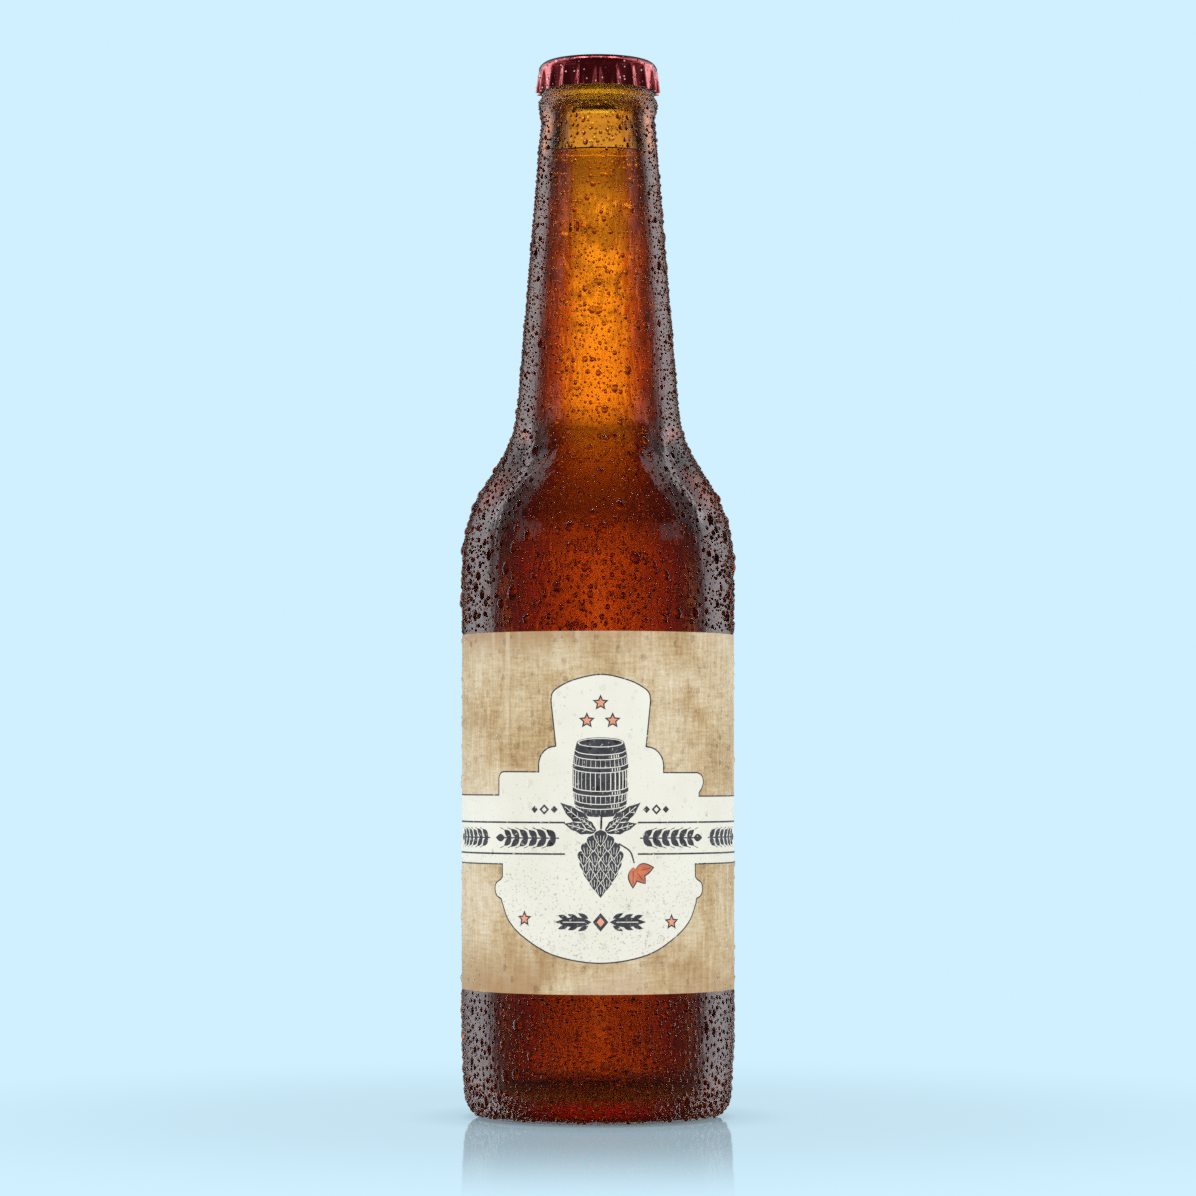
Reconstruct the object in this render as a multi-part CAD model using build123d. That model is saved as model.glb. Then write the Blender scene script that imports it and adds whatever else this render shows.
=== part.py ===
from build123d import *
import math
import os

# Longneck beer bottle, full and capped. Row frame: +Z up, origin on the axis at
# the plane the bottle stands on. Front of the label faces -Y. Millimetres.

# ---------------------------------------------------------------- glass, outside
body_r = 30.0            # body radius
heel_r = 5.0             # rounding between base and wall
heel_in = 1.2            # how much narrower the wall is at the floor
heel_h = 16.0            # height where the wall reaches its full radius
bearing_in = 20.6        # inner radius of the ring it stands on
push_up = 3.2            # height of the hollow under the base
push_edge_r, push_edge_z = 19.8, 0.55

shoulder_z = 122.85      # top of the straight wall
shoulder_r = 30.3        # radius of the convex shoulder arc
shoulder_lean = 33.0     # steepest lean of the shoulder from the vertical, degrees
neck_lean = 4.73         # half angle of the tapered neck, degrees
neck_top_r, neck_top_z = 12.70, 218.6
neck_fillet = 20.0       # concave arc between shoulder and neck

# ---------------------------------------------------------------- crown finish
collar_r, collar_z = 12.52, 221.2  # where the neck ends and swells to the transfer bead
bead_r = 13.10           # transfer bead
bead_z, bead_h = 224.2, 3.0
waist_r, waist_z = 12.55, 227.4   # undercut that the crimps close on
lip_r = 12.60            # locking lip under the cap
lip_round = 2.6
mouth_r = 7.95           # bore at the mouth
mouth_round = 1.3

# ---------------------------------------------------------------- cap
cap_top = 234.1
cap_t = 0.25             # tinplate
cap_h = 6.9
flutes = 21
skirt_top_r = 13.2       # outside radius where the flutes fade out
skirt_low_r = 13.95      # outside radius of a flute's crest at the hem
flute_depth = 1.0        # crest to valley at the hem
top_flat_r = 10.7
top_round = 2.1          # height of the rounded corner

# ---------------------------------------------------------------- inside and fill
wall_body = 2.45
wall_shoulder = 2.5
wall_neck = 2.9
floor_z = 7.0            # inside floor on the axis
fill_z = 213.4           # level of the beer

# ---------------------------------------------------------------- label
label_z0, label_z1 = 28.3, 106.2
label_t = 0.10
lap_len = 8.0            # the wrap's end laps over its start, at the back

seat_z = cap_top - cap_t


def line_at(point, lean):
    """A line through point that leans in from the vertical by lean degrees, as (r, z, dr, dz) going up."""
    a = math.radians(lean)
    return (*point, -math.sin(a), math.cos(a))


def meet(l1, l2):
    """Where two lines cross."""
    x1, y1, dx1, dy1 = l1
    x2, y2, dx2, dy2 = l2
    t = ((x2 - x1) * dy2 - (y2 - y1) * dx2) / (dx1 * dy2 - dy1 * dx2)
    return (x1 + t * dx1, y1 + t * dy1)


def shifted(line, inward):
    """The same line, moved towards the axis square to itself."""
    x, y, dx, dy = line
    return (x - dy * inward, y + dx * inward, dx, dy)


def rounded(points):
    """Edges through (r, z, radius) corners, each corner rounded by a tangent arc of its radius."""
    start, edges, last = points[0][:2], [], len(points) - 1
    for i in range(1, last + 1):
        b = Vector(points[i][0], points[i][1])
        rho = points[i][2] if i < last else 0
        if rho <= 0:
            edges.append(Line(start, (b.X, b.Y)))
            start = (b.X, b.Y)
            continue
        a, c = Vector(*points[i - 1][:2]), Vector(*points[i + 1][:2])
        u, v = (a - b).normalized(), (c - b).normalized()
        half = math.acos(max(-1, min(1, u.dot(v)))) / 2
        t = rho / math.tan(half)
        p, q = b + u * t, b + v * t
        centre = b + (u + v).normalized() * (rho / math.sin(half))
        mid = centre + (b - centre).normalized() * rho
        if (Vector(*start) - p).length > 1e-4:
            edges.append(Line(start, (p.X, p.Y)))
        edges.append(ThreePointArc((p.X, p.Y), (mid.X, mid.Y), (q.X, q.Y)))
        start = (q.X, q.Y)
    return edges


def turned(edges, closing):
    """The solid made by turning a profile, closed by straight lines through closing, about Z."""
    end, first = edges[-1] @ 1, edges[0] @ 0
    rest = [(end.X, end.Y), *closing, (first.X, first.Y)]
    loop = list(edges)
    for p, q in zip(rest, rest[1:]):
        if (Vector(*p) - Vector(*q)).length > 1e-6:
            loop.append(Line(p, q))
    face = make_face([Plane.XZ * e for e in loop])
    return revolve(face, Axis.Z, 360)


# ---- outside of the glass
body_line = (body_r, 0, 0, 1)
slope = line_at((body_r, shoulder_z + shoulder_r * math.tan(math.radians(shoulder_lean / 2))), shoulder_lean)
neck_line = line_at((neck_top_r, neck_top_z), neck_lean)
shoulder_corner = meet(body_line, slope)
neck_corner = meet(slope, neck_line)

dome_r = (push_edge_r**2 + (push_up - push_edge_z) ** 2) / (2 * (push_up - push_edge_z))
dome_mid = (push_edge_r / 2, push_up - dome_r + math.sqrt(dome_r**2 - (push_edge_r / 2) ** 2))
under = ThreePointArc((0, push_up), dome_mid, (push_edge_r, push_edge_z))

outside = [under] + rounded(
    [
        (push_edge_r, push_edge_z, 0),
        (bearing_in, 0, 0.5),
        (body_r - heel_in, 0, heel_r),
        (body_r, heel_h, 60.0),
        (*shoulder_corner, shoulder_r),
        (*neck_corner, neck_fillet),
        (collar_r, collar_z, 2.5),
        (bead_r + 0.06, bead_z - 0.5, 1.6),
        (bead_r + 0.10, bead_z + bead_h / 2 - 0.5, 0.8),
        (waist_r, bead_z + bead_h / 2 + 0.3, 0.7),
        (waist_r, waist_z, 3.0),
        (lip_r, waist_z + 1.2, 3.0),
        (lip_r, seat_z, lip_round),
        (mouth_r, seat_z, mouth_round),
        (mouth_r, seat_z - 6, 0),
    ]
)

# ---- inside of the glass
in_body = (body_r - wall_body, 0, 0, 1)
in_slope = shifted(slope, wall_shoulder)
in_neck = shifted(neck_line, wall_neck)
in_shoulder = meet(in_body, in_slope)
in_neck_corner = meet(in_slope, in_neck)
throat = (mouth_r + 0.25, 219.5)
neck_in_top = meet(in_neck, (0, 206.0, 1, 0))

inside = rounded(
    [
        (0, floor_z, 0),
        (14.0, floor_z - 0.9, 30.0),
        (in_body[0] - 0.5, floor_z - 2.6, 7.5),
        (in_body[0], 18.0, 40.0),
        (*in_shoulder, shoulder_r - wall_shoulder),
        (*in_neck_corner, neck_fillet + wall_neck),
        (*neck_in_top, 30.0),
        (*throat, 20.0),
        (mouth_r, seat_z - 6, 0),
    ]
)

outer_solid = turned(outside, [(0, seat_z - 6)])
cavity = turned(inside, [(0, seat_z - 6)])
bottle = outer_solid - cavity

# ---- beer: the cavity up to the fill level
beer = cavity & (Pos(0, 0, fill_z) * Box(80, 80, 400, align=(Align.CENTER, Align.CENTER, Align.MAX)))

# ---- label: one wrap whose end laps over its start at the back
label_in = body_r
wrap = Pos(0, 0, label_z0) * (
    Cylinder(label_in + label_t, label_z1 - label_z0, align=(Align.CENTER, Align.CENTER, Align.MIN))
    - Cylinder(label_in, label_z1 - label_z0, align=(Align.CENTER, Align.CENTER, Align.MIN))
)
lap_deg = math.degrees(lap_len / label_in)
lap_half = math.radians(lap_deg / 2)
lap_lo, lap_hi = label_in + label_t * 0.5, label_in + 2 * label_t


def ring_point(r, a):
    """A point at radius r, a radians round from +Y."""
    return (r * math.sin(a), r * math.cos(a))


lap_edges = [
    ThreePointArc(ring_point(lap_hi, -lap_half), ring_point(lap_hi, 0), ring_point(lap_hi, lap_half)),
    Line(ring_point(lap_hi, lap_half), ring_point(lap_lo, lap_half)),
    ThreePointArc(ring_point(lap_lo, lap_half), ring_point(lap_lo, 0), ring_point(lap_lo, -lap_half)),
    Line(ring_point(lap_lo, -lap_half), ring_point(lap_hi, -lap_half)),
]
lap = Pos(0, 0, label_z0) * extrude(make_face(lap_edges), label_z1 - label_z0)
label = wrap + lap


# ---- cap: pressed shell with a fluted skirt
def crest(t, f):
    """How far out the skirt is at t turns of one flute: 1 on the crest, 0 in the wider valley.

    f is 0 where the flutes start and 1 at the hem: a crest starts narrow and widens downwards.
    """
    return (0.5 + 0.5 * math.cos(2 * math.pi * t)) ** (3.4 - 1.8 * f)


def section(z, r, depth, f, steps=12):
    """One level of the cap's skin: a closed wavy line with a crest facing -Y."""
    n = flutes * steps
    points = []
    for i in range(n):
        a = 2 * math.pi * i / n - math.pi / 2
        rr = r - depth * (1 - crest(i / steps, f))
        points.append((rr * math.cos(a), rr * math.sin(a), z))
    return Face(Wire([Spline(*points, periodic=True)]))


def skin(shift, top, low):
    """The solid inside the cap's skin, with its radius cut by shift, from height low to height top."""
    levels = []
    hem = cap_top - cap_h
    fade = cap_top - top_round
    for k in range(9):
        f = k / 8
        z = low if k == 0 else hem + (fade - hem) * f
        r = skirt_low_r + (skirt_top_r - skirt_low_r) * f
        d = flute_depth * (1 - f) ** 0.6
        levels.append((z, r - shift, d, 1 - f))
    corner = skirt_top_r - top_flat_r
    for f in (0.2, 0.4, 0.6, 0.8, 1.0):
        a = f * math.pi / 2
        z = fade + (top - fade) * math.sin(a)
        r = top_flat_r + corner * math.cos(a)
        levels.append((z, r - shift * math.cos(a), 0.0, 0.0))
    return loft([section(*lv) for lv in levels], ruled=True)


cap = skin(0.0, cap_top, cap_top - cap_h) - skin(cap_t, cap_top - cap_t, cap_top - cap_h - 0.4)

os.makedirs("parts", exist_ok=True)
for name, solid in {"bottle": bottle, "beer": beer, "label": label, "cap": cap}.items():
    solids = solid.solids()
    print(name, len(solids), "solids,", round(sum(s.volume for s in solids) / 1000, 3), "ml, valid", all(s.is_valid for s in solids))
    shape = solids[0] if len(solids) == 1 else Compound(children=list(solids))
    export_step(shape, f"parts/{name}.step")
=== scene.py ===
import math

import bpy
import numpy as np
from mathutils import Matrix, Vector
from mathutils.geometry import delaunay_2d_cdt


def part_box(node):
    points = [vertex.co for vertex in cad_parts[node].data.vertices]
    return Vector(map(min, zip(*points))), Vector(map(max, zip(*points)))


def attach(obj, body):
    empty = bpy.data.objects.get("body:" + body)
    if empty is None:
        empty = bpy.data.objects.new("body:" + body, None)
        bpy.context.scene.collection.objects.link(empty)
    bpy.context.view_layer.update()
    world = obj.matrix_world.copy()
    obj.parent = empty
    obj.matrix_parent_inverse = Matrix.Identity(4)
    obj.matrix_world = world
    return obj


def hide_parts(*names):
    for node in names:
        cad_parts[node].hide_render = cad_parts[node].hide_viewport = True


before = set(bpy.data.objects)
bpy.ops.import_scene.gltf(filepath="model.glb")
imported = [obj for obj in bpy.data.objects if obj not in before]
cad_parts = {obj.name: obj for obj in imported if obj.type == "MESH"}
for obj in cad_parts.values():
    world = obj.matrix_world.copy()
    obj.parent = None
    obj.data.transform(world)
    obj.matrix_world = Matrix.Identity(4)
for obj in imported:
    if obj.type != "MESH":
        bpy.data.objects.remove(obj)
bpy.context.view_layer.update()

MM = 0.001
rng = np.random.default_rng(20375)

# ------------------------------------------------------------------ sizes, millimetres, as in the CAD
body_r, heel_r, heel_in, heel_h = 30.0, 5.0, 1.2, 16.0
bearing_in, push_up, push_edge_r, push_edge_z = 20.6, 3.2, 19.8, 0.55
shoulder_z, shoulder_r, shoulder_lean = 122.85, 30.3, 33.0
neck_lean, neck_top_r, neck_top_z, neck_fillet = 4.73, 12.70, 218.6, 20.0
collar_r, collar_z = 12.52, 221.2
bead_r, bead_z, bead_h = 13.10, 224.2, 3.0
waist_r, waist_z, lip_r, lip_round = 12.55, 227.4, 12.60, 2.6
mouth_r, mouth_round = 7.95, 1.3
wall_body, wall_shoulder, wall_neck, floor_z = 2.45, 2.5, 2.9, 7.0
cap_lo, cap_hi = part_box("cap")
beer_lo, beer_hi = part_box("beer")
label_lo, label_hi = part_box("label")
cap_top = cap_hi.z / MM
cap_h = (cap_hi.z - cap_lo.z) / MM
fill_z = beer_hi.z / MM
label_z0, label_z1 = label_lo.z / MM, label_hi.z / MM
cap_t = 0.25
seat_z = cap_top - cap_t
flutes, skirt_top_r, skirt_low_r, flute_depth, top_flat_r, top_round = 21, 13.2, 13.95, 1.0, 10.7, 2.1


# ------------------------------------------------------------------ mesh helpers
def link(name, mesh):
    o = bpy.data.objects.new(name, mesh)
    bpy.context.scene.collection.objects.link(o)
    return o


def mesh_from(name, verts, faces, smooth=True, sharp=None):
    """A mesh from an (n, 3) array in millimetres and an (m, k) array of corners, or a list of such arrays."""
    me = bpy.data.meshes.new(name)
    groups = faces if isinstance(faces, list) else [faces]
    groups = [np.asarray(g, np.int32) for g in groups if len(g)]
    me.vertices.add(len(verts))
    me.vertices.foreach_set("co", (np.asarray(verts, np.float64) * MM).astype(np.float32).ravel())
    loops = np.concatenate([g.ravel() for g in groups])
    sizes = np.concatenate([np.full(len(g), g.shape[1], np.int32) for g in groups])
    starts = np.concatenate([[0], np.cumsum(sizes)[:-1]]).astype(np.int32)
    me.loops.add(len(loops))
    me.loops.foreach_set("vertex_index", loops.astype(np.int32))
    me.polygons.add(len(sizes))
    me.polygons.foreach_set("loop_start", starts)
    me.polygons.foreach_set("loop_total", sizes)
    me.polygons.foreach_set("use_smooth", np.full(len(sizes), smooth))
    me.update(calc_edges=True)
    me.validate()
    if sharp:
        me.set_sharp_from_angle(angle=math.radians(sharp))
    return me


def line_at(point, lean):
    a = math.radians(lean)
    return (*point, -math.sin(a), math.cos(a))


def meet(l1, l2):
    x1, y1, dx1, dy1 = l1
    x2, y2, dx2, dy2 = l2
    t = ((x2 - x1) * dy2 - (y2 - y1) * dx2) / (dx1 * dy2 - dy1 * dx2)
    return (x1 + t * dx1, y1 + t * dy1)


def shifted(line, inward):
    x, y, dx, dy = line
    return (x - dy * inward, y + dx * inward, dx, dy)


def rounded(points, step=0.9, arc_step=5.0):
    """The (r, z) line through rounded corners, cut every step mm on arcs and coarser on straight runs."""
    out = [np.array(points[0][:2], float)]
    for i in range(1, len(points)):
        b = np.array(points[i][:2], float)
        rho = points[i][2] if i < len(points) - 1 else 0
        if rho <= 0:
            out.append(b)
            continue
        a, c = np.array(points[i - 1][:2], float), np.array(points[i + 1][:2], float)
        u, v = (a - b) / np.linalg.norm(a - b), (c - b) / np.linalg.norm(c - b)
        half = math.acos(max(-1, min(1, float(u @ v)))) / 2
        t = rho / math.tan(half)
        p, q = b + u * t, b + v * t
        w = (u + v) / np.linalg.norm(u + v)
        centre = b + w * (rho / math.sin(half))
        a0 = math.atan2(*(p - centre)[::-1])
        a1 = math.atan2(*(q - centre)[::-1])
        turn = (a1 - a0 + math.pi) % (2 * math.pi) - math.pi
        n = max(3, int(abs(turn) * rho / step), int(abs(math.degrees(turn)) / arc_step))
        for k in range(n + 1):
            g = a0 + turn * k / n
            out.append(centre + rho * np.array([math.cos(g), math.sin(g)]))
    line = [out[0]]
    for p in out[1:]:
        d = np.linalg.norm(p - line[-1])
        if d < 1e-5:
            continue
        n = max(1, int(d / 2.5))
        start = line[-1]
        for k in range(1, n + 1):
            line.append(start + (p - start) * k / n)
    return np.array(line)


def eased(line, z0, z1, sigma):
    """The line with its bends between z0 and z1 eased, as blown glass has no sudden change of curve."""
    i0, i1 = int(np.argmax(line[:, 1] > z0)), int(np.argmax(line[:, 1] > z1))
    part = line[i0:i1]
    l = np.concatenate([[0], np.cumsum(np.linalg.norm(np.diff(part, axis=0), axis=1))])
    fine = np.arange(0, l[-1], 0.25)
    k = np.arange(-4 * sigma, 4 * sigma + 0.01, 0.25)
    w = np.exp(-0.5 * (k / sigma) ** 2)
    w /= w.sum()
    m = len(k) // 2
    out = []
    for a in (0, 1):
        v = np.interp(fine, l, part[:, a])
        v = np.concatenate([v[0] + (v[1] - v[0]) * np.arange(-m, 0), v, v[-1] + (v[-1] - v[-2]) * np.arange(1, m + 1)])
        out.append(np.convolve(v, w, "valid"))
    mid = np.stack(out, 1)
    turn = np.abs(np.gradient(np.arctan2(np.gradient(mid[:, 1]), np.gradient(mid[:, 0]))))
    spend = np.cumsum(turn / math.radians(1.6) + 0.25 / 3.0)
    keep = np.concatenate([[True], np.diff(np.floor(spend)) > 0])
    return np.vstack([line[:i0], mid[keep], line[i1:]])


def lathe(name, profile, seg=192, closed=False, sharp=None):
    """A closed solid of revolution from an (r, z) line. Ends at r = 0 become poles; a closed profile makes a ring."""
    pr = [np.array(p, float) for p in profile]
    ang = np.arange(seg) * 2 * math.pi / seg
    verts, rows = [], []
    for r, z in pr:
        if r < 1e-6:
            rows.append([len(verts)])
            verts.append((0, 0, z))
        else:
            rows.append(list(range(len(verts), len(verts) + seg)))
            verts.extend((r * math.sin(a), -r * math.cos(a), z) for a in ang)
    quads, tris = [], []
    pairs = list(zip(rows, rows[1:])) + ([(rows[-1], rows[0])] if closed else [])
    for a, b in pairs:
        for k in range(seg):
            j = (k + 1) % seg
            if len(a) == 1 and len(b) == 1:
                continue
            if len(a) == 1:
                tris.append((a[0], b[j], b[k]))
            elif len(b) == 1:
                tris.append((a[k], a[j], b[0]))
            else:
                quads.append((a[k], a[j], b[j], b[k]))
    groups = [np.array(quads), np.array(tris)] if tris else [np.array(quads)]
    return link(name, mesh_from(name, np.array(verts), groups, sharp=sharp))


# ------------------------------------------------------------------ profiles
body_line = (body_r, 0, 0, 1)
slope = line_at((body_r, shoulder_z + shoulder_r * math.tan(math.radians(shoulder_lean / 2))), shoulder_lean)
neck_line = line_at((neck_top_r, neck_top_z), neck_lean)
shoulder_corner, neck_corner = meet(body_line, slope), meet(slope, neck_line)

dome_r = (push_edge_r**2 + (push_up - push_edge_z) ** 2) / (2 * (push_up - push_edge_z))
under = [(r, push_up - dome_r + math.sqrt(dome_r**2 - r * r)) for r in np.linspace(0, push_edge_r, 16)]
outer = rounded([
    (push_edge_r, push_edge_z, 0),
    (bearing_in, 0, 0.5),
    (body_r - heel_in, 0, heel_r),
    (body_r, heel_h, 60.0),
    (*shoulder_corner, shoulder_r),
    (*neck_corner, neck_fillet),
    (collar_r, collar_z, 2.5),
    (bead_r + 0.06, bead_z - 0.5, 1.6),
    (bead_r + 0.10, bead_z + bead_h / 2 - 0.5, 0.8),
    (waist_r, bead_z + bead_h / 2 + 0.3, 0.7),
    (waist_r, waist_z, 3.0),
    (lip_r, waist_z + 1.2, 3.0),
    (lip_r, seat_z, lip_round),
    (mouth_r, seat_z, mouth_round),
    (mouth_r, seat_z - 6, 0),
])
in_body = (body_r - wall_body, 0, 0, 1)
in_slope, in_neck = shifted(slope, wall_shoulder), shifted(neck_line, wall_neck)
in_shoulder, in_neck_corner = meet(in_body, in_slope), meet(in_slope, in_neck)
neck_in_top = meet(in_neck, (0, 206.0, 1, 0))
inner = rounded([
    (0, floor_z, 0),
    (14.0, floor_z - 0.9, 30.0),
    (in_body[0] - 0.5, floor_z - 2.6, 7.5),
    (in_body[0], 18.0, 40.0),
    (*in_shoulder, shoulder_r - wall_shoulder),
    (*in_neck_corner, neck_fillet + wall_neck),
    (*neck_in_top, 30.0),
    (mouth_r + 0.25, 219.5, 20.0),
    (mouth_r, seat_z - 6, 0),
])

# ------------------------------------------------------------------ glass and beer
outer, inner = eased(outer, 80.0, 212.0, 3.2), eased(inner, 80.0, 200.0, 3.6)
inner[:, 0] += np.where(inner[:, 1] > 215, 0.45 * np.exp(-(((inner[:, 1] - 224.2) / 1.5) ** 2)), 0)
glass_profile = [np.array(p) for p in under[:-1]] + list(outer) + list(inner[::-1][1:])
glass = lathe("bottle_glass", glass_profile, seg=168)

reach = 0.15
beer_in = [p for p in inner if p[1] < fill_z]
side = float(np.interp(fill_z, inner[:, 1], inner[:, 0]))
line = [np.array([p[0] + (reach if p[0] > 1 else 0), p[1] - (reach if p[1] < 12 and p[0] < 26 else 0)]) for p in beer_in]
meniscus = [(side + reach, fill_z + 0.1)] + [
    (side * (1 - t), fill_z - 0.35 * (1 - math.exp(-4.5 * t))) for t in np.linspace(0.02, 0.6, 10)] + [(0.0, fill_z - 0.34)]
beer = lathe("beer_fill", line + [np.array(p) for p in meniscus], seg=160, sharp=50)


# ------------------------------------------------------------------ crown cap
def cap_wave(th, z):
    """How far in from the crests the cap's skin lies, at an angle and a height: 0 on a crest and above the flutes."""
    f = np.clip((cap_top - top_round - z) / (cap_h - top_round), 0, 1)
    wave = 0.5 + 0.5 * np.cos(flutes * np.asarray(th))
    return flute_depth * f**0.6 * (1 - wave ** (3.4 - 1.8 * f))


def cap_shell():
    """One pressed tinplate shell: a flat top, a rounded rim and a skirt crimped into 21 flutes."""
    seg = flutes * 20
    ang = np.arange(seg) * 2 * math.pi / seg
    z_round = cap_top - top_round
    rows = [(r, cap_top) for r in (0.0, 3.5, 6.5, 9.0, top_flat_r)]
    for a in np.radians(np.linspace(9, 90, 10)):
        rows.append((top_flat_r + (skirt_top_r - top_flat_r) * math.sin(a), z_round + top_round * math.cos(a)))
    for f in np.linspace(0, 1, 20)[1:]:
        rows.append((skirt_top_r + (skirt_low_r - skirt_top_r) * f, z_round - (cap_h - top_round) * f))
    low = rows[-1]
    back = []
    for r, z in rows[::-1]:
        k = max(0.0, (z - z_round) / top_round)
        back.append((max(0.0, r - cap_t * (1 - k)), z - cap_t * k))
    hem = [(low[0] - cap_t * 0.2, low[1]), (low[0] - cap_t * 0.8, low[1])]
    verts, idx = [], []
    for r, z in rows + hem + back:
        if r < 1e-6:
            idx.append([len(verts)])
            verts.append((0.0, 0.0, z))
            continue
        idx.append(list(range(len(verts), len(verts) + seg)))
        rr = r - cap_wave(ang, z)
        verts.extend(zip(rr * np.sin(ang), -rr * np.cos(ang), np.full(seg, z)))
    quads, tris, q_in, t_in = [], [], [], []
    for i, (a, b) in enumerate(zip(idx, idx[1:])):
        inside = i >= len(rows) + 1
        for k in range(seg):
            j = (k + 1) % seg
            if len(a) == 1:
                tris.append((a[0], b[k], b[j]))
                t_in.append(inside)
            elif len(b) == 1:
                tris.append((a[k], b[0], a[j]))
                t_in.append(inside)
            else:
                quads.append((a[k], b[k], b[j], a[j]))
                q_in.append(inside)
    me = mesh_from("crown_cap", np.array(verts), [np.array(quads), np.array(tris)], sharp=60)
    me.polygons.foreach_set("material_index", np.array(q_in + t_in, np.int32))
    return link("crown_cap", me)


cap = cap_shell()

# ------------------------------------------------------------------ label: a shell whose outer face is cut into fields of colour
R_s = 30.1
half_way = math.pi - 0.0004
S = half_way * R_s
KRAFT, CREAM, INK, SALMON, RUST = range(5)
shapes = []          # (loop of (s, z), material), later ones lie over earlier ones
cx = 0.55


def add(loop, mat, at=(cx, 0)):
    shapes.append((np.asarray(loop, float) + np.array(at), mat))


def spline(points, n=8):
    """A Catmull-Rom line through the points, ends included."""
    p = np.asarray(points, float)
    p = np.vstack([2 * p[0] - p[1], p, 2 * p[-1] - p[-2]])
    out = []
    for i in range(1, len(p) - 2):
        for t in np.arange(n) / n:
            a, b, c, d = p[i - 1], p[i], p[i + 1], p[i + 2]
            out.append(0.5 * (2 * b + (c - a) * t + (2 * a - 5 * b + 4 * c - d) * t * t + (3 * b - a - 3 * c + d) * t**3))
    out.append(p[-2])
    return np.array(out)


def grown(loop, by):
    """A closed loop moved outwards by this much, corners mitred. The loop runs counter-clockwise."""
    p = np.asarray(loop, float)
    a, b = np.roll(p, 1, 0), np.roll(p, -1, 0)
    u, v = p - a, b - p
    u /= np.linalg.norm(u, axis=1, keepdims=True)
    v /= np.linalg.norm(v, axis=1, keepdims=True)
    n1, n2 = np.c_[u[:, 1], -u[:, 0]], np.c_[v[:, 1], -v[:, 0]]
    m = n1 + n2
    m /= np.maximum(np.linalg.norm(m, axis=1, keepdims=True), 1e-9)
    k = np.clip((m * n1).sum(1, keepdims=True), 0.45, 1)
    return p + m * by / k


def arc(c, rx, rz, a0, a1, n=10):
    a = np.radians(np.linspace(a0, a1, n))
    return np.c_[c[0] + rx * np.cos(a), c[1] + rz * np.sin(a)]


end = S - 0.02
band_lo, band_hi = 56.1, 70.95
dome = spline([(11.05, 91.3), (10.75, 92.75), (9.6, 93.95), (6.2, 95.6), (0.2, 96.85), (-5.9, 95.65), (-9.4, 93.95), (-10.6, 92.75), (-10.85, 91.3)], 7)
right_up = np.vstack([
    [(23.9, band_hi - 0.25)],
    spline([(23.95, 71.5), (24.9, 72.6), (25.35, 73.8), (24.9, 75.1), (23.6, 75.72), (22.6, 75.78)], 5),
    [(14.15, 75.8)],
    arc((10.2, 77.1), 3.95, 4.2, 4, 88, 10),
    [(10.0, 81.4)],
])
left_down = np.vstack([
    [(-9.75, 81.5)],
    arc((-10.0, 77.3), 3.75, 4.1, 92, 176, 10),
    [(-13.7, 75.95)],
    arc((-22.9, 74.5), 1.5, 1.5, 90, 180, 6),
    [(-24.4, band_hi)],
])
lobe_r = spline([(22.75, 53.3), (23.4, 52.7), (24.65, 52.0), (25.05, 50.7), (24.5, 49.3), (23.1, 48.6)], 5)
bowl = spline([(22.9, 47.6), (21.0, 43.9), (16.9, 40.3), (9.9, 36.6), (0, 35.05), (-9.9, 36.6), (-17.2, 40.3), (-21.4, 43.9), (-23.3, 47.6)], 7)
lobe_l = lobe_r * (-1, 1) + (-0.55, 0)
field = np.vstack([
    [(end - cx, band_lo), (end - cx, band_hi - 0.25)],
    right_up, dome, left_down,
    [(-end - cx, band_hi), (-end - cx, band_lo)],
    [(-23.3, band_lo)], lobe_l, bowl[::-1], lobe_r[::-1], [(22.7, band_lo)],
])
add(grown(field, 0.16), INK)
add(grown(field, -0.14), CREAM)


def bar(x0, z0, x1, z1, w, mat=INK, at=(cx, 0)):
    """A straight stroke of this width."""
    d = np.array([x1 - x0, z1 - z0])
    n = np.array([-d[1], d[0]]) / np.hypot(*d) * w / 2
    p, q = np.array([x0, z0]), np.array([x1, z1])
    add([p - n, q - n, q + n, p + n], mat, at)


for z in (65.1, 58.35):
    bar(8.1, z, end - cx, z, 0.38)
    bar(-end - cx, z, -7.7, z, 0.38)


def star(x, z, r):
    a = np.radians(90 + 36 * np.arange(10))
    rr = np.where(np.arange(10) % 2 == 0, 1.0, 0.47)
    base = np.c_[np.cos(a) * rr, np.sin(a) * rr]
    add(base * r + (x, z), INK)
    add(base * (r * 0.60) + (x, z), SALMON)


for x, z in ((0.0, 90.75), (-2.95, 86.95), (2.6, 86.95), (-17.2, 44.4), (16.1, 43.7)):
    star(x, z, 1.85)


def leaf(tip, root, width, mat=INK, n=7, lobes=0.0, at=(cx, 0)):
    """A pointed leaf from root to tip."""
    root, tip = np.array(root, float), np.array(tip, float)
    d = tip - root
    nrm = np.array([-d[1], d[0]]) / np.hypot(*d)
    t = np.linspace(0, 1, n)
    w = np.sin(math.pi * t**0.85) * (1 + lobes * np.sin(t * 6 * math.pi)) * width / 2
    one = root + t[:, None] * d + nrm * w[:, None]
    two = root + t[:, None] * d - nrm * w[:, None]
    loop = np.vstack([two[:-1], one[::-1][:-1]])
    add(loop, mat, at)


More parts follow.
